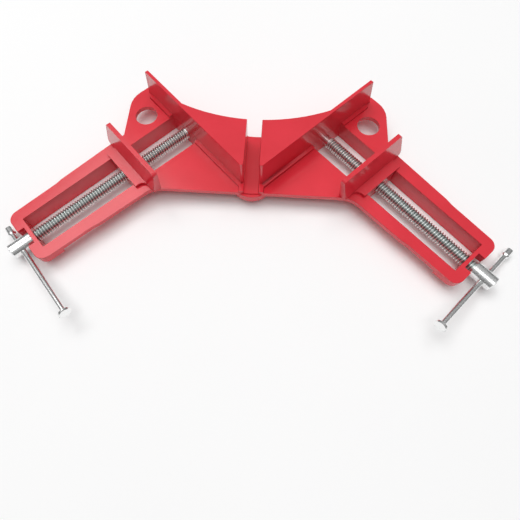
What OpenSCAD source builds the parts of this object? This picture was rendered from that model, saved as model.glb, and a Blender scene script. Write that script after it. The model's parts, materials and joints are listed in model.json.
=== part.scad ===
// Right-angle corner clamp: one die-cast body with two fences at 90 degrees,
// and two sliding jaws that long screws draw towards the fences.
// Places on an arm are given as "out", the distance from the fence face along the screw,
// and "along", the distance from the work corner along the fence.

/* [Fences] */
// Length of a fence at its foot, from the work corner to its free end
fence_length = 110; // [104:1:125]
// Height of a fence above the base plate
fence_height = 21; // [14:0.5:30]
// Thickness of a fence
fence_wall = 2.5; // [1.8:0.1:4]
// Distance that the free end of a fence leans in towards the corner at its top
fence_end_lean = 4.2; // [0:0.2:6]
// Width of the low ledge along the foot of a fence
ledge_width = 2.6; // [1:0.1:3.2]
// Height of the low ledge above the base plate
ledge_height = 1.4; // [0.6:0.1:2.5]

/* [Base] */
// Height of the base plate's top face above the bench
base_height = 12.4; // [12:0.2:18]
// Thickness of the base plate and of the arm flanges
plate_thickness = 3.4; // [2:0.1:4]
// Distance from the work corner back to the front edge of the base plate
front_setback = 0.4; // [0.1:0.1:1]
// Distance that the base plate shows behind a fence
plate_lip = 0.4; // [0.2:0.05:1]
// Radius of the inner corner between the front edge and an arm
front_fillet = 16; // [4:0.5:20]

/* [Corner blocks] */
// Radius of the hollow curve at the back of the two corner blocks
rear_radius = 115; // [105:1:160]
// Distance from the work corner back to the middle of that curve
rear_depth = 40.5; // [34:0.5:44]
// Distance that the base plate shows behind the corner blocks
rear_step = 4; // [0.5:0.1:5]
// Wall thickness of the hollow corner blocks
block_wall = 2.5; // [1.8:0.1:4]
// Depth that the corner block walls reach below the base plate
skirt_depth = 5; // [2:0.5:7]
// Width of the open channel between the two corner blocks
channel_width = 9.4; // [6:0.2:14]
// Depth of the channel floor below the base plate's top face
channel_drop = 0.8; // [0.2:0.1:1.5]
// Width of the raised strip on each side of the channel, in front of the fence
strip_width = 3.3; // [2:0.1:4.5]
// Radius of the upright edge where a corner block meets the channel
block_corner = 1.4; // [0.5:0.1:2.5]
// Radius of the round boss below the front of the channel
boss_radius = 14; // [8:0.5:18]
// Distance that the boss stands out past the front edge
boss_overhang = 2.2; // [0.5:0.1:4]
// Depth of the boss below the base plate
boss_depth = 3.6; // [2:0.1:6]

/* [Arms] */
// Distance of a screw axis from the work corner, along the fence
screw_along = 68; // [66:0.2:74]
// Distance from the fence face out to the end of an arm
arm_reach = 124.7; // [112:0.5:145]
// Width of an arm over its flanges, in line with the fence face
arm_root_width = 49.5; // [47:0.5:54]
// Width of an arm over its flanges where its sides step in
arm_waist_width = 42.9; // [42:0.25:46]
// Width of an arm over its flanges at its end
arm_end_width = 39.5; // [37:0.25:41]
// Amount that each side of an arm steps in
arm_step = 0.75; // [0.2:0.05:0.9]
// Distance from the fence face out to that step
arm_step_out = 84; // [70:1:95]
// Length of the step along the arm
arm_step_run = 5; // [2:0.5:8]
// Radius of an arm's end corners
arm_corner = 6; // [2:0.5:9]
// Width of the slot that a jaw runs in, at the fence
slot_width = 27.2; // [25:0.2:29]
// Width of the slot at the arm's end
slot_end_width = 24.6; // [20:0.2:26]
// Thickness of the walls around the slot
slot_wall = 2.6; // [2:0.1:4]
// Height that the front wall of the slot is kept clear of the bench
wall_relief = 3.6; // [1:0.2:5]
// Distance of the slot's inner end from the fence face
slot_lip = 0.1; // [0.05:0.05:1]
// Depth that the rim at the arm's end reaches below the flanges
end_skirt = 2.6; // [1:0.1:4]
// Length of that deeper rim along the arm
end_skirt_run = 15; // [9:0.5:24]
// Thickness of the web that closes the slot at the arm's end
end_web = 2.6; // [2:0.1:4]
// Distance from the end of the slot to the arm's end
end_margin = 7.1; // [6.4:0.1:12]

/* [Ears] */
// Distance that an ear reaches past the free end of its fence
ear_margin = 4; // [1:0.25:8]
// Radius of an ear's outer corner
ear_corner = 17; // [8:0.5:20]
// Diameter of the bench bolt hole in an ear
bolt_hole_d = 15; // [8:0.5:16]
// Distance of the bolt hole's centre from the fence face
bolt_hole_out = 13.3; // [12:0.1:16]
// Land between the bolt hole and the wall of the slot
bolt_hole_land = 2.7; // [1:0.1:4]
// Land between the bolt hole and the ear's side edge
ear_land = 5.2; // [3:0.1:8]

/* [Jaws] */
// Opening between the left jaw and its fence as drawn
left_opening = 39.9; // [4:0.1:94]
// Opening between the right jaw and its fence as drawn
right_opening = 37.4; // [4:0.1:94]
// Thickness of a jaw's upright plate at its top
jaw_plate = 3; // [2.2:0.1:4]
// Thickness of the upright plate where it rises from the saddle
jaw_root = 5.5; // [4.5:0.1:6.5]
// Reach of the jaw plate's foot from the screw axis towards the work corner
jaw_front_reach = 27.3; // [24:0.1:31]
// Reach of the jaw plate's foot from the screw axis away from the work corner
jaw_back_reach = 25.2; // [22:0.1:28]
// Distance that the plate's front end leans out at its top
jaw_front_lean = 3.7; // [0:0.1:6]
// Distance that the plate's back end leans in at its top
jaw_back_lean = 5.9; // [0:0.1:8]
// Radius of the jaw plate's upper corners
jaw_top_radius = 2; // [0.5:0.1:4]
// Radius of the jaw plate's lower corner at its back end
jaw_tip_radius = 3.5; // [1:0.5:6]
// Depth of a jaw's saddle, from the clamping face back
saddle_depth = 12; // [11:0.1:16]
// Thickness of the saddle above the rails
saddle_height = 1.8; // [1.2:0.1:3]
// Overlap of the saddle on each rail
saddle_overlap = 3; // [1.5:0.1:5]
// Radius of the hollow between the saddle's front end and the plate
saddle_fillet = 4.2; // [1:0.1:4.4]
// Gap between the nut block and the bench
nut_clearance = 1.2; // [0.5:0.1:2]

/* [Screws] */
// Outer diameter of the thread
screw_d = 8; // [7:0.1:9]
// Depth of the screw axis below the base plate's top face
screw_drop = 4.8; // [4.3:0.1:5.2]
// Diameter of the plain nose that turns in the fence wall
nose_d = 6; // [4.5:0.1:6.5]
// Diameter of the hub at the handle end
hub_d = 10; // [9.4:0.1:12]
// Distance that the hub stands out past the arm's end
hub_overhang = 10.2; // [9:0.1:14]
// Distance from the hub's outer end to the cross hole
cross_hole_inset = 6.1; // [5:0.1:7.2]
// Free play of a screw along its axis
screw_play = 3.6; // [3.5:0.1:5]
// Distance that the left screw is drawn out within its play
left_pull = 0; // [0:0.1:3.4]
// Distance that the right screw is drawn out within its play
right_pull = 3.4; // [0:0.1:3.4]
// Chamfer on the ends of a screw
screw_chamfer = 0.7; // [0.2:0.1:1.2]
// Gap between the hub and the notch in the arm's end
notch_gap = 1.4; // [0.5:0.1:2.5]

/* [Retainers] */
// Outer diameter of the thrust washer
washer_d = 10; // [9:0.1:11]
// Thickness of the thrust washer
washer_t = 1; // [0.6:0.1:1.6]
// Outer diameter of the retaining clip
clip_d = 9.4; // [8.6:0.1:10]
// Thickness of the retaining clip
clip_t = 0.9; // [0.6:0.1:1.4]
// Width of the clip's rim outside its prongs
clip_rim = 1.1; // [0.7:0.1:1.3]
// Width of each prong of the clip
clip_prong = 1.8; // [1.2:0.1:2.4]
// Depth of the clip's groove in the nose
groove_depth = 0.6; // [0.4:0.1:0.9]
// Length of the nose behind the clip
nose_tail = 1.5; // [0.8:0.1:3]
// Depth that the seat of the washer is faced into the fence wall
seat_depth = 0.3; // [0.1:0.05:0.6]
// Gap between the washer and the recess that it lies in
recess_gap = 1; // [0.5:0.1:2]

/* [Handles] */
// Diameter of a sliding handle bar
bar_d = 3.2; // [2.4:0.1:4]
// Length of a handle bar over its head and stop
bar_length = 76; // [66:1:88]
// Diameter of the flat head on the bar
head_d = 7.6; // [6:0.1:9]
// Thickness of the flat head
head_t = 1.3; // [0.8:0.1:2]
// Diameter of the swaged stop on the bar's other end
stop_d = 4.8; // [4.6:0.1:6]
// Length of the swaged stop
stop_length = 6.5; // [3:0.5:8]
// Length of the cone that leads from the bar to the stop
stop_cone = 1.2; // [0.4:0.1:2]
// Distance that the left bar is pushed back from its stop
left_push = 5.8; // [0:0.5:30]
// Distance that the right bar is pushed back from its stop
right_push = 17.3; // [0:0.1:30]
// Angle that the left bar's head is raised
left_tilt = 7; // [0:0.5:12]
// Angle that the right bar's head is raised
right_tilt = 9.5; // [0:0.5:9.5]

/* [Clearances] */
// Gap between a jaw and the rails that it slides on
slide_gap = 0.3; // [0.2:0.05:0.6]
// Radial play of a turning or sliding round piece in its hole
running_gap = 0.08; // [0.05:0.01:0.1]
// End play between two pieces that stop against each other
end_play = 0.2; // [0.1:0.05:0.5]

/* [Hidden] */
$fn = 64;

casting_red = [0.80, 0.10, 0.12];
plated_steel = [0.78, 0.80, 0.82];
spring_steel = [0.35, 0.36, 0.38];

overcut = 1;
face_setback = 0.5;
corner_angle = 12;
step_radius = 3;
ledge_inset = 0.3;
ear_foot_radius = 1.5;
ear_end_radius = 1;

fence_top = base_height + fence_height;
plate_bottom = base_height - plate_thickness;
plate_middle = base_height - plate_thickness / 2;
skirt_bottom = plate_bottom - skirt_depth;
channel_half = channel_width / 2;
channel_floor = base_height - channel_drop;
rear_centre = rear_depth + rear_radius;
block_far = rear_centre / 2;

screw_z = base_height - screw_drop;
slot_end = arm_reach - end_margin;
web_end = slot_end + end_web;
slot_front = screw_along - slot_width / 2;
slot_back = screw_along + slot_width / 2;
arm_slope = (arm_root_width - arm_waist_width) / 2 / arm_step_out;
front_out = (screw_along - arm_root_width / 2 - front_setback * sqrt(2)) / (1 - arm_slope);
ear_reach = fence_length + ear_margin;
bolt_hole_along = slot_back + slot_wall + bolt_hole_land + bolt_hole_d / 2;
bolt_place = at(bolt_hole_out, bolt_hole_along);
ear_tip = ear_corner * tan(22.5) + ear_end_radius;
ear_side = max(bolt_place[0] + bolt_hole_d / 2 + ear_land, at(ear_tip, ear_reach)[0]);
ear_out = (ear_side * sqrt(2) - screw_along - arm_root_width / 2) / (1 - arm_slope);

rail_top = base_height + slide_gap;
saddle_top = rail_top + saddle_height;
nut_half = min(slot_width, slot_end_width) / 2 - slide_gap;
jaw_taper = (jaw_root - jaw_plate) / (fence_top - saddle_top);
hub_start = web_end + end_play;
hub_end = arm_reach + hub_overhang;
cross_hole_out = hub_end - cross_hole_inset;
notch_width = hub_d + 2 * notch_gap;

seat_out = seat_depth - fence_wall;
washer_out = seat_out - end_play - washer_t;
clip_out = washer_out - screw_play - clip_t;
nose_end = clip_out - nose_tail;
groove_d = nose_d - 2 * groove_depth;
recess_d = washer_d + 2 * recess_gap;
hollow_end = screw_along - recess_d / 2 - block_wall;

bar_reach = bar_length - stop_length - hub_d / 2 - end_play;

// Place on the right arm, from its distance out and its distance along the fence
function at(out, along) = [(along + out) * cos(45), (along - out) * cos(45)];

function unit(v) = v / norm(v);

// Points that round the corner q between its neighbours p and s with radius r
function corner(p, q, s, r) =
    r == 0 ? [q] :
    let (
        u = unit(p - q),
        w = unit(s - q),
        half = acos(u * w) / 2,
        middle = q + unit(u + w) * r / sin(half),
        first = q + u * r / tan(half) - middle,
        last = q + w * r / tan(half) - middle,
        from = atan2(first[1], first[0]),
        turn = (atan2(last[1], last[0]) - from + 540) % 360 - 180,
        steps = ceil(abs(turn) / corner_angle)
    )
    [for (i = [0 : steps]) middle + r * [cos(from + turn * i / steps), sin(from + turn * i / steps)]];

// Closed outline through points, each rounded by its own radius
function rounded(points, radii) =
    let (n = len(points))
    [for (i = [0 : n - 1])
        each corner(points[(i + n - 1) % n], points[i], points[(i + 1) % n], radii[i])];

// Distance from the screw axis to a bar's head
function head_reach(push) = bar_reach - push;

// Thickness of a jaw's upright plate at a height above the bench
function plate_at(z) = jaw_plate + jaw_taper * (fence_top - z);

module right_arm() {
    rotate([0, 0, -45]) children();
}

module left_arm() {
    mirror([1, 0, 0]) right_arm() children();
}

module both_arms() {
    right_arm() children();
    left_arm() children();
}

module both_halves() {
    children();
    mirror([1, 0, 0]) children();
}

// Round bar along the screw axis between two distances out from the fence
module along_screw(from, to, d) {
    translate([from, screw_along, screw_z]) rotate([0, 90, 0]) cylinder(h = to - from, d = d);
}

// Box on an arm between two corners, each given as out, along and height
module arm_box(low, high) {
    translate(low) cube(high - low);
}

// Circle behind the clamp that leaves the hollow rear curve, drawn in by "grow"
module rear_circle(grow) {
    translate([0, rear_centre]) circle(r = rear_radius - grow, $fn = 4 * $fn);
}

// Base plate with arm flange and ear, right half
module plate_outline() {
    root_half = arm_root_width / 2;
    waist_half = arm_waist_width / 2;
    end_half = arm_end_width / 2;
    step_end = arm_step_out + arm_step_run;
    points = [
        [0, front_setback],
        at(front_out, screw_along - root_half + arm_slope * front_out),
        at(arm_step_out, screw_along - waist_half),
        at(step_end, screw_along - waist_half + arm_step),
        at(arm_reach, screw_along - end_half),
        at(arm_reach, screw_along + end_half),
        at(step_end, screw_along + waist_half - arm_step),
        at(arm_step_out, screw_along + waist_half),
        at(ear_out, screw_along + root_half - arm_slope * ear_out),
        [ear_side, ear_reach * sqrt(2) - ear_side],
        at(-fence_wall - plate_lip, ear_reach),
        [0, (fence_wall + plate_lip) * sqrt(2)],
    ];
    radii = [
        0, front_fillet, step_radius, step_radius, arm_corner, arm_corner,
        step_radius, step_radius, ear_foot_radius, ear_corner, ear_end_radius, 0,
    ];
    polygon(rounded(points, radii));
    difference() {
        polygon([[0, 0], [block_far, block_far], [0, block_far]]);
        rear_circle(rear_step);
    }
}

// Outer end of an arm, right half
module end_outline() {
    intersection() {
        plate_outline();
        right_arm()
            translate([arm_reach - end_skirt_run, screw_along - arm_root_width])
                square([2 * end_skirt_run, 2 * arm_root_width]);
    }
}

// Corner block and fence in one outline, right half
module upright_outline() {
    start = channel_half * sqrt(2) + block_corner / tan(22.5) + fence_wall;
    block = [[channel_half, channel_half], [block_far, block_far], [channel_half, block_far]];
    difference() {
        polygon(rounded(block, [block_corner, 0, 0]));
        rear_circle(0);
    }
    polygon([at(0, start), at(0, ear_reach), at(-fence_wall, ear_reach), at(-fence_wall, start)]);
}

// Hollow of a corner block, open from below
module block_hollow() {
    side = channel_half + block_wall;
    front = fence_wall + face_setback;
    translate([0, 0, skirt_bottom - overcut])
        linear_extrude(fence_top - block_wall - skirt_bottom + overcut)
            difference() {
                polygon([
                    [side, side + front * sqrt(2)],
                    at(-front, hollow_end),
                    [side, hollow_end * sqrt(2) - side],
                ]);
                rear_circle(-block_wall);
            }
}

// Wedge that is cut off a fence so that its free end leans in towards the top
module fence_end_cut() {
    lean = fence_end_lean / fence_height;
    low = skirt_bottom - overcut;
    high = fence_top + overcut;
    translate([-fence_wall - overcut, 0, 0])
        rotate([90, 0, 90])
            linear_extrude(fence_wall + 2 * overcut)
                polygon([
                    [fence_length - lean * (low - base_height), low],
                    [ear_reach + 2 * ear_margin, low],
                    [ear_reach + 2 * ear_margin, high],
                    [fence_length - lean * (high - base_height), high],
                ]);
}

// Low ledge along the foot of a fence, right half, that turns forward beside the channel
module ledge() {
    side = channel_half + strip_width;
    front = front_setback + ledge_inset;
    end = fence_length - fence_end_lean;
    outline = [
        [-channel_half, front],
        [side, front],
        [side, side - ledge_width * sqrt(2)],
        at(ledge_width, end),
        at(-fence_wall / 2, end),
        [-channel_half, fence_wall / 2 * sqrt(2)],
    ];
    translate([0, 0, plate_middle])
        linear_extrude(plate_thickness / 2 + ledge_height)
            polygon(rounded(outline, [0, ledge_inset, 0, ledge_width / 2, 0, 0]));
}

// Walls round the slot of an arm, as a solid whose back part stands on the bench
module slot_walls() {
    arm_box([seat_out, slot_front - slot_wall, wall_relief], [web_end, slot_back + slot_wall, plate_middle]);
    arm_box([seat_out, hollow_end, 0], [web_end, slot_back + slot_wall, plate_middle]);
}

// Plan of the slot, which narrows a little towards the arm's end
module slot_outline() {
    polygon([
        [slot_lip, slot_front],
        [slot_end, screw_along - slot_end_width / 2],
        [slot_end, screw_along + slot_end_width / 2],
        [slot_lip, slot_back],
    ]);
}

// Everything that is cut out of an arm
module arm_cuts() {
    translate([0, 0, -overcut]) linear_extrude(fence_top + 2 * overcut) slot_outline();
    arm_box(
        [web_end, screw_along - notch_width / 2, -overcut],
        [arm_reach + overcut, screw_along + notch_width / 2, base_height + overcut]
    );
    along_screw(seat_out - overcut, slot_lip + overcut, nose_d + 2 * running_gap);
    along_screw(slot_end - overcut, web_end + overcut, screw_d + 2 * running_gap);
    along_screw(nose_end - recess_d, seat_out, recess_d);
    translate([bolt_hole_out, bolt_hole_along, -overcut])
        cylinder(h = base_height + 2 * overcut, d = bolt_hole_d);
}

// Round boss under the front of the channel
module front_boss() {
    translate([0, boss_radius + front_setback - boss_overhang, plate_bottom - boss_depth])
        cylinder(h = plate_middle - plate_bottom + boss_depth, r = boss_radius);
}

module body() {
    color(casting_red)
        difference() {
            union() {
                translate([0, 0, plate_bottom])
                    linear_extrude(plate_thickness) both_halves() plate_outline();
                difference() {
                    translate([0, 0, skirt_bottom])
                        linear_extrude(fence_top - skirt_bottom) both_halves() upright_outline();
                    both_arms() fence_end_cut();
                }
                translate([0, 0, plate_bottom - end_skirt])
                    linear_extrude(plate_middle - plate_bottom + end_skirt) both_halves() end_outline();
                both_halves() ledge();
                both_arms() slot_walls();
                front_boss();
            }
            both_halves() block_hollow();
            both_arms() arm_cuts();
            translate([-channel_half, -rear_depth, channel_floor])
                cube([channel_width, 3 * rear_depth, fence_top]);
        }
}

// Plan of a jaw's saddle, with a hollow corner where its front end meets the plate
module saddle_outline() {
    front = slot_front - saddle_overlap;
    back = slot_back + saddle_overlap;
    translate([0, front]) square([saddle_depth, back - front]);
    difference() {
        translate([0, front - saddle_fillet]) square([jaw_root + saddle_fillet, saddle_fillet]);
        translate([jaw_root + saddle_fillet, front - saddle_fillet]) circle(r = saddle_fillet);
    }
}

// Upright plate of a jaw, thicker at its root, with leaning ends
module jaw_upright() {
    front = screw_along - jaw_front_reach;
    back = screw_along + jaw_back_reach;
    low = rail_top - overcut;
    high = fence_top + overcut;
    face = [
        [front, rail_top],
        [back, rail_top],
        [back - jaw_back_lean, fence_top],
        [front - jaw_front_lean, fence_top],
    ];
    difference() {
        rotate([90, 0, 90])
            linear_extrude(2 * jaw_root)
                polygon(rounded(face, [0, jaw_tip_radius, jaw_top_radius, jaw_top_radius]));
        translate([0, back + overcut, 0])
            rotate([90, 0, 0])
                linear_extrude(back - front + jaw_front_lean + 2 * overcut)
                    polygon([
                        [plate_at(low), low],
                        [3 * jaw_root, low],
                        [3 * jaw_root, high],
                        [plate_at(high), high],
                    ]);
    }
}

module jaw(opening) {
    translate([opening, 0, 0])
        color(casting_red)
            difference() {
                union() {
                    jaw_upright();
                    translate([0, 0, rail_top]) linear_extrude(saddle_height) saddle_outline();
                    arm_box(
                        [0, screw_along - nut_half, nut_clearance],
                        [saddle_depth, screw_along + nut_half, saddle_top]
                    );
                }
                along_screw(-overcut, saddle_depth + overcut, screw_d + 2 * running_gap);
            }
}

module screw(pull, tilt) {
    color(plated_steel)
        difference() {
            translate([pull, screw_along, screw_z])
                rotate([0, 90, 0])
                    rotate_extrude()
                        polygon([
                            [0, nose_end],
                            [nose_d / 2 - screw_chamfer, nose_end],
                            [nose_d / 2, nose_end + screw_chamfer],
                            [nose_d / 2, clip_out],
                            [groove_d / 2, clip_out],
                            [groove_d / 2, clip_out + clip_t],
                            [nose_d / 2, clip_out + clip_t],
                            [nose_d / 2, slot_lip + end_play],
                            [screw_d / 2, slot_lip + end_play],
                            [screw_d / 2, hub_start],
                            [hub_d / 2, hub_start],
                            [hub_d / 2, hub_end - screw_chamfer],
                            [hub_d / 2 - screw_chamfer, hub_end],
                            [0, hub_end],
                        ]);
            translate([cross_hole_out + pull, screw_along, screw_z])
                rotate([90 - tilt, 0, 0])
                    cylinder(h = 2 * hub_d, d = bar_d + 2 * running_gap, center = true);
        }
}

// Handle bar that slides in the hub, its flat head raised at the front
module t_bar(pull, push, tilt) {
    head_end = head_reach(push);
    tail_end = head_end - bar_length;
    color(plated_steel)
        translate([cross_hole_out + pull, screw_along, screw_z])
            rotate([90 - tilt, 0, 0])
                rotate_extrude()
                    polygon([
                        [0, tail_end],
                        [stop_d / 2, tail_end],
                        [stop_d / 2, tail_end + stop_length - stop_cone],
                        [bar_d / 2, tail_end + stop_length],
                        [bar_d / 2, head_end - head_t],
                        [head_d / 2, head_end - head_t],
                        [head_d / 2, head_end - head_t / 3],
                        [head_d / 2 - head_t / 3, head_end],
                        [0, head_end],
                    ]);
}

module thrust_washer() {
    color(plated_steel)
        difference() {
            along_screw(washer_out, washer_out + washer_t, washer_d);
            along_screw(washer_out - overcut, overcut, nose_d + 2 * running_gap);
        }
}

// Open spring clip with a rim and three prongs that reach into the groove
module clip_outline() {
    difference() {
        union() {
            difference() {
                circle(d = clip_d);
                circle(d = clip_d - 2 * clip_rim);
                translate([0, -nose_d / 2]) square([clip_d, nose_d]);
            }
            intersection() {
                circle(d = clip_d - clip_rim);
                for (turn = [90, 180, 270])
                    rotate(turn) translate([0, -clip_prong / 2]) square([clip_d / 2, clip_prong]);
            }
        }
        circle(d = groove_d + 2 * running_gap);
    }
}

module retaining_clip(pull) {
    color(spring_steel)
        translate([clip_out + pull, screw_along, screw_z])
            rotate([0, 90, 0])
                linear_extrude(clip_t) clip_outline();
}

module left_jaw() {
    left_arm() jaw(left_opening);
}

module right_jaw() {
    right_arm() jaw(right_opening);
}

module left_screw() {
    left_arm() screw(left_pull, left_tilt);
}

module right_screw() {
    right_arm() screw(right_pull, right_tilt);
}

module left_t_bar() {
    left_arm() t_bar(left_pull, left_push, left_tilt);
}

module right_t_bar() {
    right_arm() t_bar(right_pull, right_push, right_tilt);
}

module left_thrust_washer() {
    left_arm() thrust_washer();
}

module right_thrust_washer() {
    right_arm() thrust_washer();
}

module left_retaining_clip() {
    left_arm() retaining_clip(left_pull);
}

module right_retaining_clip() {
    right_arm() retaining_clip(right_pull);
}

body();
left_jaw();
right_jaw();
left_screw();
right_screw();
left_t_bar();
right_t_bar();
left_thrust_washer();
right_thrust_washer();
left_retaining_clip();
right_retaining_clip();
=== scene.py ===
import json
import math

import bmesh
import bpy
import numpy as np
from mathutils import Euler, Matrix, Vector
from mathutils.geometry import delaunay_2d_cdt

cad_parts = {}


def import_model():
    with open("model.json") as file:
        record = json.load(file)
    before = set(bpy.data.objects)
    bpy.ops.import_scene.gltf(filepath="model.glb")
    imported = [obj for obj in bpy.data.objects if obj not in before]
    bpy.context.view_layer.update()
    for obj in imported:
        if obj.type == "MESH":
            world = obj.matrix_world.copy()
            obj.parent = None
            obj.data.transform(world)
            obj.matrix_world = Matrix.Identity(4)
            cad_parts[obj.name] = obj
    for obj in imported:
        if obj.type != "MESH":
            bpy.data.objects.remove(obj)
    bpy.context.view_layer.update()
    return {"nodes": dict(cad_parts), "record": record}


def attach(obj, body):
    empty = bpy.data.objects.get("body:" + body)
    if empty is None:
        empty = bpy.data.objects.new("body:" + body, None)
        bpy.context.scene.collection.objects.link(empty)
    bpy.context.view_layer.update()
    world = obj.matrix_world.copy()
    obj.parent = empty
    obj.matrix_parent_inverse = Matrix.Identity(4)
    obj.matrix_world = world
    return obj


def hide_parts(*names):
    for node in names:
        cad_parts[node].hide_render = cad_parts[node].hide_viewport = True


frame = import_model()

MM = 0.001
DIAGONAL = math.sqrt(0.5)
SIDES = {"left": -1, "right": 1}
NODES = frame["nodes"]
BODY_OF = {n: b for b, ns in frame["record"]["behaviour"]["bodies"].items() for n in ns}

# Screws, in millimetres as in the CAD model; a shaft's two ends are measured along the screw from the fence
SCREW_ALONG = 68.0
SCREW_Z = 7.6
SHAFT = {"left": (0.3, 120.4), "right": (3.7, 123.8)}
SHAFT_SLACK = 0.01
THREAD_RADIUS = 4.0
RADIUS_SLACK = 0.05
THREAD_PITCH = 1.75
THREAD_DEPTH = 0.95
THREAD_STEPS = 40
# One pitch of the thread: height above the root, from 0 to 1, by share of the pitch, and where rows of corners lie
PROFILE_PLACE = (0, 0.09, 0.16, 0.42, 0.50, 0.60, 0.68, 0.94, 1.0)
PROFILE_HEIGHT = (0, 0, 0.06, 0.94, 1.0, 1.0, 0.94, 0.06, 0)
THREAD_ROWS = (0, 0.09, 0.16, 0.25, 0.34, 0.42, 0.50, 0.60, 0.68, 0.81)
# Name of the mesh attribute that is 0 in a thread groove and 1 on its crest
CREST = "crest"

# Flat regions, in metres: corners this close are joined, and faces this close to one plane count as one region
WELD = 2e-6
FLAT = 3e-6
# A face thinner than this joins a region by place alone, any other face only if it looks the same way
SLIVER = 6 * FLAT
SAME_WAY_COS = 0.99
# Regions that meet at less than this turn form one curved wall, whose edges stay as they are
CURVE_COS = math.cos(math.radians(28))
# The flat end of a turned part has at least this many border edges
CAP_EDGES = 12

# Rounding: where along an edge the depth of a face is measured, and the share of it that the rounding may take
PROBES = (0.2, 0.5, 0.8)
PARALLEL = 0.01
FULL_DEPTH = 1.0
DEPTH_SHARE = 0.4
# Filling: how close two corners may lie, in metres, and by how much the filled area may differ from the border's
FILL_REACH = 1e-8
FILL_SLACK = 0.02

# Each noise ramp changes from its first colour to its second between these two values
CLOUD_LOW, CLOUD_HIGH = 0.3, 0.7


def collect(name, data):
    obj = bpy.data.objects.new(name, data)
    bpy.context.scene.collection.objects.link(obj)
    return obj


# Materials

def shader(name):
    material = bpy.data.materials.new(name)
    material.use_nodes = True
    nodes, links = material.node_tree.nodes, material.node_tree.links
    principled = nodes["Principled BSDF"]
    place = nodes.new("ShaderNodeTexCoord")
    return material, nodes, links, principled, place.outputs["Object"]


def noise(nodes, links, vector, scale, detail):
    texture = nodes.new("ShaderNodeTexNoise")
    texture.inputs["Scale"].default_value = scale
    texture.inputs["Detail"].default_value = detail
    links.new(vector, texture.inputs["Vector"])
    return texture.outputs["Fac"]


def ramp(nodes, links, factor, first, second):
    """Colour between two stops, each a position and a colour."""
    node = nodes.new("ShaderNodeValToRGB")
    for element, (position, colour) in zip(node.color_ramp.elements, (first, second)):
        element.position = position
        element.color = (*colour, 1)
    links.new(factor, node.inputs["Fac"])
    return node.outputs["Color"]


def clouds(nodes, links, factor, low, high):
    return ramp(nodes, links, factor, (CLOUD_LOW, low), (CLOUD_HIGH, high))


def spread(nodes, links, factor, low, high):
    node = nodes.new("ShaderNodeMapRange")
    node.inputs["To Min"].default_value = low
    node.inputs["To Max"].default_value = high
    links.new(factor, node.inputs["Value"])
    return node.outputs["Result"]


def bump(nodes, links, height, strength, distance, normal=None):
    node = nodes.new("ShaderNodeBump")
    node.inputs["Strength"].default_value = strength
    node.inputs["Distance"].default_value = distance
    links.new(height, node.inputs["Height"])
    if normal:
        links.new(normal, node.inputs["Normal"])
    return node.outputs["Normal"]


def red_paint():
    """Gloss paint on a casting: faint clouds of colour, soft waves and a fine orange peel."""
    material, nodes, links, principled, place = shader("glossy_red_paint")
    tint = noise(nodes, links, place, 38, 4)
    colour = clouds(nodes, links, tint, (0.69, 0.020, 0.036), (0.76, 0.026, 0.046))
    links.new(colour, principled.inputs["Base Color"])
    patches = noise(nodes, links, place, 120, 5)
    links.new(spread(nodes, links, patches, 0.16, 0.26), principled.inputs["Roughness"])
    peel = noise(nodes, links, place, 620, 2)
    waves = noise(nodes, links, place, 90, 2)
    wavy = bump(nodes, links, waves, 0.10, 0.0006)
    links.new(bump(nodes, links, peel, 0.10, 0.00008, wavy), principled.inputs["Normal"])
    principled.inputs["IOR"].default_value = 1.52
    principled.inputs["Coat Weight"].default_value = 0.35
    principled.inputs["Coat Roughness"].default_value = 0.12
    return material


def zinc(name, tint_low, tint_high, rough_low, rough_high, grooves=None):
    """Zinc plating; grooves names a mesh attribute that is 0 in a thread groove and 1 on its crest, and the colour
    is darkened in the groove as painted shade.
    """
    material, nodes, links, principled, place = shader(name)
    colour = clouds(nodes, links, noise(nodes, links, place, 150, 5), tint_low, tint_high)
    if grooves:
        # Painted shade: the base colour darkens down into each thread groove, where shade falls
        height = nodes.new("ShaderNodeAttribute")
        height.attribute_name = grooves
        painted_groove_shade = ramp(nodes, links, height.outputs["Fac"], (0.1, (0.44, 0.46, 0.46)), (0.85, (1, 1, 1)))
        mix = nodes.new("ShaderNodeMix")
        mix.data_type, mix.blend_type = "RGBA", "MULTIPLY"
        mix.inputs["Factor"].default_value = 1
        links.new(colour, mix.inputs["A"])
        links.new(painted_groove_shade, mix.inputs["B"])
        colour = mix.outputs["Result"]
    links.new(colour, principled.inputs["Base Color"])
    grain = noise(nodes, links, place, 900, 4)
    links.new(spread(nodes, links, grain, rough_low, rough_high), principled.inputs["Roughness"])
    links.new(bump(nodes, links, grain, 0.05, 0.00002), principled.inputs["Normal"])
    principled.inputs["Metallic"].default_value = 1
    return material


def spring_steel():
    material, nodes, links, principled, place = shader("dark_spring_steel")
    tint = noise(nodes, links, place, 400, 4)
    colour = clouds(nodes, links, tint, (0.10, 0.10, 0.11), (0.20, 0.20, 0.21))
    links.new(colour, principled.inputs["Base Color"])
    links.new(spread(nodes, links, tint, 0.35, 0.55), principled.inputs["Roughness"])
    principled.inputs["Metallic"].default_value = 1
    return material


PAINT = red_paint()
SCREW_ZINC = zinc("zinc_thread", (0.82, 0.88, 0.86), (0.92, 0.97, 0.95), 0.30, 0.42, CREST)
BAR_ZINC = zinc("zinc_bar", (0.88, 0.89, 0.89), (0.95, 0.95, 0.945), 0.20, 0.32)
SPRING = spring_steel()


# Pieces

def clean_copy(node):
    bm = bmesh.new()
    bm.from_mesh(NODES[node].data)
    bmesh.ops.remove_doubles(bm, verts=bm.verts, dist=WELD)
    return bm


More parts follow.
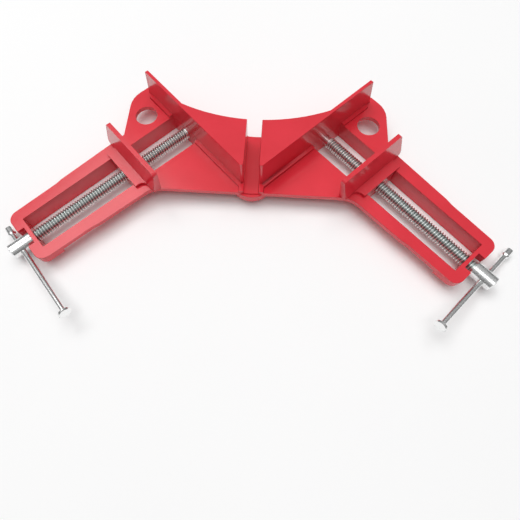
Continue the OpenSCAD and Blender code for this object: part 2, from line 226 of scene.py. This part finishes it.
def flat_regions(bm):
    """Number of the flat region that each face belongs to, and a plane (normal, point) for each region."""
    region, planes = {}, []
    for seed in sorted(bm.faces, key=lambda face: -face.calc_area()):
        if seed in region:
            continue
        normal, point = seed.normal.copy(), seed.verts[0].co.copy()
        region[seed] = len(planes)
        queue = [seed]
        while queue:
            for edge in queue.pop().edges:
                for face in edge.link_faces:
                    if face in region or any(abs((v.co - point).dot(normal)) > FLAT for v in face.verts):
                        continue
                    height = 2 * face.calc_area() / max(e.calc_length() for e in face.edges)
                    if height < SLIVER or face.normal.dot(normal) > SAME_WAY_COS:
                        region[face] = len(planes)
                        queue.append(face)
        planes.append((normal, point))
    return region, planes


def plane_axes(normal):
    first = normal.orthogonal().normalized()
    return first, normal.cross(first)


def free_depths(bm, region, planes):
    """For each border edge of a flat region, how far the region reaches inwards from it."""
    borders = [[] for _ in planes]
    for face in bm.faces:
        for loop in face.loops:
            if any(region[other] != region[face] for other in loop.edge.link_faces):
                borders[region[face]].append((loop.edge, loop.vert.co, loop.link_loop_next.vert.co))
    depths = {}
    for (normal, _), border in zip(planes, borders):
        axes = np.array(plane_axes(normal))
        tails = np.array([tail for _, tail, _ in border]) @ axes.T
        runs = np.array([head for _, _, head in border]) @ axes.T - tails
        for index, (edge, _, _) in enumerate(border):
            inward = np.array((-runs[index][1], runs[index][0]))
            inward /= max(np.linalg.norm(inward), 1e-12)
            depth = FULL_DEPTH
            for share in PROBES:
                offset = tails - (tails[index] + share * runs[index])
                across = inward[0] * runs[:, 1] - inward[1] * runs[:, 0]
                across[np.abs(across) < PARALLEL * np.hypot(*runs.T)] = np.nan
                ahead = (offset[:, 0] * runs[:, 1] - offset[:, 1] * runs[:, 0]) / across
                place = (offset[:, 0] * inward[1] - offset[:, 1] * inward[0]) / across
                hits = ahead[(place >= 0) & (place <= 1) & (ahead > FLAT)]
                depth = min(depth, hits.min(initial=depth))
            depths[edge] = min(depth, depths.get(edge, depth))
    return depths


def within(triangles, origins, border):
    """The triangles on the inner side of a border of directed edges."""
    border = set(border)
    owner = {}
    for triangle in triangles:
        corners = [origins[corner][0] if origins[corner] else -1 - corner for corner in triangle]
        sides = list(zip(corners, corners[1:] + corners[:1]))
        for side in sides:
            owner[side] = triangle, sides
    queue = [owner[pair] for pair in border if pair in owner]
    found = set()
    while queue:
        triangle, sides = queue.pop()
        if tuple(triangle) in found:
            continue
        found.add(tuple(triangle))
        for tail, head in sides:
            if (tail, head) not in border and (head, tail) in owner:
                queue.append(owner[head, tail])
    return found


def refill(mesh, planes):
    """Fill each region again within its border, so that the rounding leaves no face folded."""
    bm = bmesh.new()
    bm.from_mesh(mesh)
    groups = {}
    for face in bm.faces:
        groups.setdefault(face.material_index, []).append(face)
    for number, faces in groups.items():
        if len(faces) < 2:
            continue
        normal, point = planes[number]
        axes = plane_axes(normal)
        # Dictionaries keep their order, so that each run fills in the same way
        inside = dict.fromkeys((loop.vert, loop.link_loop_next.vert) for face in faces for loop in face.loops)
        border = [(tail, head) for tail, head in inside if (head, tail) not in inside]
        verts = list(dict.fromkeys(vert for pair in border for vert in pair))
        place = {vert: index for index, vert in enumerate(verts)}
        flat = [Vector((vert.co.dot(axes[0]), vert.co.dot(axes[1]))) for vert in verts]
        area = sum(flat[place[tail]].cross(flat[place[head]]) for tail, head in border) / 2
        edges = [(place[tail], place[head]) for tail, head in border]
        points, _, triangles, origins, _, _ = delaunay_2d_cdt(flat, edges, [], 1, FILL_REACH)
        triangles = within(triangles, origins, edges)
        covered = sum((points[b] - points[a]).cross(points[c] - points[a]) / 2 for a, b, c in triangles)
        if abs(covered - area) > FILL_SLACK * abs(area):
            continue
        bmesh.ops.delete(bm, geom=faces, context="FACES_KEEP_BOUNDARY")
        lift = normal * normal.dot(point)
        corner_of = [
            verts[origin[0]] if origin else bm.verts.new(axes[0] * spot.x + axes[1] * spot.y + lift)
            for origin, spot in zip(origins, points)
        ]
        for triangle in triangles:
            corners = [corner_of[corner] for corner in triangle]
            if len(set(corners)) == 3 and bm.faces.get(corners) is None:
                bm.faces.new(corners).material_index = number
    bm.to_mesh(mesh)
    bm.free()


def lay_normals(mesh, planes):
    """Shade each region by its plane, and blend only regions that form one curved wall."""
    areas = np.zeros(len(planes))
    touching = [set() for _ in mesh.vertices]
    for face in mesh.polygons:
        face.use_smooth = True
        areas[face.material_index] += face.area
        for vert in face.vertices:
            touching[vert].add(face.material_index)
    corners = []
    for face in mesh.polygons:
        own = planes[face.material_index][0]
        for vert in face.vertices:
            near = [planes[k][0] * areas[k] for k in touching[vert] if planes[k][0].dot(own) > CURVE_COS]
            corners.append(sum(near, Vector()).normalized())
    mesh.polygons.foreach_set("material_index", [0] * len(mesh.polygons))
    mesh.normals_split_custom_set(corners)


def rounded(bm, name, width, segments, caps_only=False):
    """New piece with its sharp edges rounded, by less where a face is narrow; caps_only rounds turned ends."""
    layer = bm.edges.layers.float.new("bevel_weight_edge")
    low = Vector([min(v.co[axis] for v in bm.verts) for axis in range(3)])
    high = Vector([max(v.co[axis] for v in bm.verts) for axis in range(3)])
    region, planes = flat_regions(bm)
    depths = free_depths(bm, region, planes)
    counts = np.bincount(
        [region[face] for edge in depths for face in edge.link_faces], minlength=len(planes)
    )
    for edge, depth in depths.items():
        if len(edge.link_faces) == 2:
            first, second = (planes[region[face]][0] for face in edge.link_faces)
            capped = max(counts[region[face]] for face in edge.link_faces) >= CAP_EDGES
            if first.dot(second) < CURVE_COS and (capped or not caps_only):
                edge[layer] = min(1.0, DEPTH_SHARE * depth / width)
    # The number of its region is kept as a face's material; the rounding takes the number of a face beside it
    for face in bm.faces:
        face.material_index = region[face]
    mesh = bpy.data.meshes.new(name)
    bm.to_mesh(mesh)
    bm.free()
    obj = collect(name, mesh)
    bevel = obj.modifiers.new("round", "BEVEL")
    bevel.limit_method = "WEIGHT"
    bevel.width = width
    bevel.segments = segments
    bevel.use_clamp_overlap = False
    bevel.loop_slide = False
    obj.data = bpy.data.meshes.new_from_object(obj.evaluated_get(bpy.context.evaluated_depsgraph_get()))
    obj.modifiers.clear()
    bpy.data.meshes.remove(mesh)
    refill(obj.data, planes)
    for vert in obj.data.vertices:
        vert.co = [min(max(vert.co[axis], low[axis]), high[axis]) for axis in range(3)]
    lay_normals(obj.data, planes)
    obj.data.name = name
    return obj


def finish_piece(obj, node, material):
    obj.data.materials.clear()
    obj.data.materials.append(material)
    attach(obj, BODY_OF[node])
    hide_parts(node)


def screw_frame(sign):
    """Matrix from screw coordinates, with z along the screw out from the fence, to the clamp."""
    out = Vector((sign * DIAGONAL, -DIAGONAL, 0))
    along = Vector((sign * DIAGONAL, DIAGONAL, 0))
    up = Vector((0, 0, 1))
    across = up.cross(out)
    matrix = Matrix((up, across, out)).transposed().to_4x4()
    matrix.translation = (along * SCREW_ALONG + up * SCREW_Z) * MM
    return matrix


def smoothstep(value):
    t = np.clip(value, 0, 1)
    return t * t * (3 - 2 * t)


def thread(bm, side):
    """Helical thread surface: flat crests and roots, flanks about 60 degrees apart, running out at both ends."""
    crest = bm.verts.layers.float.new(CREST)
    profile = np.interp(THREAD_ROWS, PROFILE_PLACE, PROFILE_HEIGHT)
    samples = len(THREAD_ROWS)
    start, end = SHAFT[side]
    turns = int((end - start) / THREAD_PITCH) + 3
    rows = turns * samples
    matrix = screw_frame(SIDES[side])
    angles = np.arange(THREAD_STEPS) / THREAD_STEPS * 2 * math.pi
    grid = []
    for row in range(rows):
        turn, phase = divmod(row, samples)
        verts = []
        for angle in angles:
            place = start + (turn - 1 + THREAD_ROWS[phase] + angle / (2 * math.pi)) * THREAD_PITCH
            place = min(max(place, start), end)
            fade = smoothstep((place - start) / THREAD_PITCH)
            fade *= smoothstep((end - place) / THREAD_PITCH)
            cut = (1 - profile[phase]) * fade
            radius = THREAD_RADIUS - THREAD_DEPTH * cut
            point = Vector((radius * math.cos(angle), radius * math.sin(angle), place)) * MM
            verts.append(bm.verts.new(matrix @ point))
            verts[-1][crest] = 1 - cut
        grid.append(verts)
    # The last step of a row joins the first step of the row one turn on
    for row in range(rows - 1):
        lower, upper = grid[row], grid[row + 1]
        for step in range(THREAD_STEPS - 1):
            bm.faces.new((lower[step], lower[step + 1], upper[step + 1], upper[step]))
        if row + 1 + samples < rows:
            bm.faces.new((lower[-1], grid[row + samples][0], grid[row + 1 + samples][0], upper[-1]))


def screw(side):
    """A screw in two pieces: the turned hub and nose without the shaft, and the thread in its place."""
    node = side + "_screw"
    back = screw_frame(SIDES[side]).inverted()
    start, end = SHAFT[side]
    bm = clean_copy(node)
    shaft = []
    for face in bm.faces:
        points = [back @ v.co / MM for v in face.verts]
        if all(
            start - SHAFT_SLACK < p.z < end + SHAFT_SLACK
            and abs(p.xy.length - THREAD_RADIUS) < RADIUS_SLACK
            for p in points
        ):
            shaft.append(face)
    bmesh.ops.delete(bm, geom=shaft, context="FACES")
    turned = rounded(bm, node + "_turned", 0.3 * MM, 2, caps_only=True)
    bm = bmesh.new()
    thread(bm, side)
    bmesh.ops.dissolve_degenerate(bm, dist=1e-6, edges=bm.edges)
    bmesh.ops.recalc_face_normals(bm, faces=bm.faces)
    for face in bm.faces:
        face.smooth = True
    mesh = bpy.data.meshes.new(node + "_thread")
    bm.to_mesh(mesh)
    bm.free()
    finish_piece(collect(node + "_thread", mesh), node, SCREW_ZINC)
    finish_piece(turned, node, BAR_ZINC)


def casting(node, name, width):
    finish_piece(rounded(clean_copy(node), name, width * MM, 3), node, PAINT)


def turned_part(node, name, width, material):
    finish_piece(rounded(clean_copy(node), name, width * MM, 2, caps_only=True), node, material)


casting("body", "clamp_body", 0.45)
for side in SIDES:
    casting(side + "_jaw", side + "_jaw_casting", 0.4)
    screw(side)
    turned_part(side + "_t_bar", side + "_t_bar_handle", 0.25, BAR_ZINC)
    turned_part(side + "_thrust_washer", side + "_thrust_washer_ring", 0.12, BAR_ZINC)
    turned_part(side + "_retaining_clip", side + "_retaining_clip_clip", 0.1, SPRING)


# Stage, light and camera

def floor_material():
    material, nodes, links, principled, place = shader("pale_floor")
    tint = noise(nodes, links, place, 3, 3)
    colour = clouds(nodes, links, tint, (0.955, 0.955, 0.955), (0.975, 0.975, 0.975))
    links.new(colour, principled.inputs["Base Color"])
    principled.inputs["Roughness"].default_value = 0.7
    principled.inputs["Specular IOR Level"].default_value = 0.0
    return material


def floor():
    half = 6.0
    corners = [(-half, -half, 0), (half, -half, 0), (half, half, 0), (-half, half, 0)]
    mesh = bpy.data.meshes.new("floor")
    mesh.from_pydata(corners, [], [(0, 1, 2, 3)])
    mesh.materials.append(floor_material())
    collect("floor", mesh)


def world():
    """Studio room: bright above, darker towards the walls."""
    sky = bpy.data.worlds.new("studio")
    bpy.context.scene.world = sky
    sky.use_nodes = True
    nodes, links = sky.node_tree.nodes, sky.node_tree.links
    place = nodes.new("ShaderNodeTexCoord")
    height = nodes.new("ShaderNodeSeparateXYZ")
    links.new(place.outputs["Generated"], height.inputs["Vector"])
    walls, ceiling = (0.15, (0.10, 0.10, 0.10)), (0.75, (0.44, 0.44, 0.44))
    shade = ramp(nodes, links, height.outputs["Z"], walls, ceiling)
    links.new(shade, nodes["Background"].inputs["Color"])


def lamp(name, place, size, power):
    """Area lamp, aimed at the origin on the floor under the clamp."""
    data = bpy.data.lights.new(name, "AREA")
    data.shape = "RECTANGLE"
    data.size, data.size_y = size
    data.energy = power
    obj = collect(name, data)
    obj.location = place
    obj.rotation_euler = (-Vector(place)).to_track_quat("-Z", "Y").to_euler()
    return obj


def camera():
    data = bpy.data.cameras.new("camera")
    data.lens = 27.425
    data.sensor_width = 36
    data.shift_x = 0.013362
    data.shift_y = -0.005475
    data.clip_start = 0.01
    obj = collect("camera", data)
    obj.location = Vector((11.923, -127.478, 231.510)) * MM
    obj.rotation_euler = Euler([math.radians(a) for a in (21.1756523, 0.52747779, 3.79511718)], "XYZ")
    bpy.context.scene.camera = obj


floor()
world()
# The softbox would whiten the plates by its reflection, so gloss does not show it
lamp("softbox", (-0.05, 0.65, 2.25), (1.7, 1.7), 24.5).visible_glossy = False
lamp("front_box", (0.10, -0.70, 2.25), (1.6, 0.7), 8)
lamp("reflector", (-1.10, 0.70, 2.25), (1.4, 1.0), 12)
camera()
bpy.context.scene.view_settings.view_transform = "Standard"
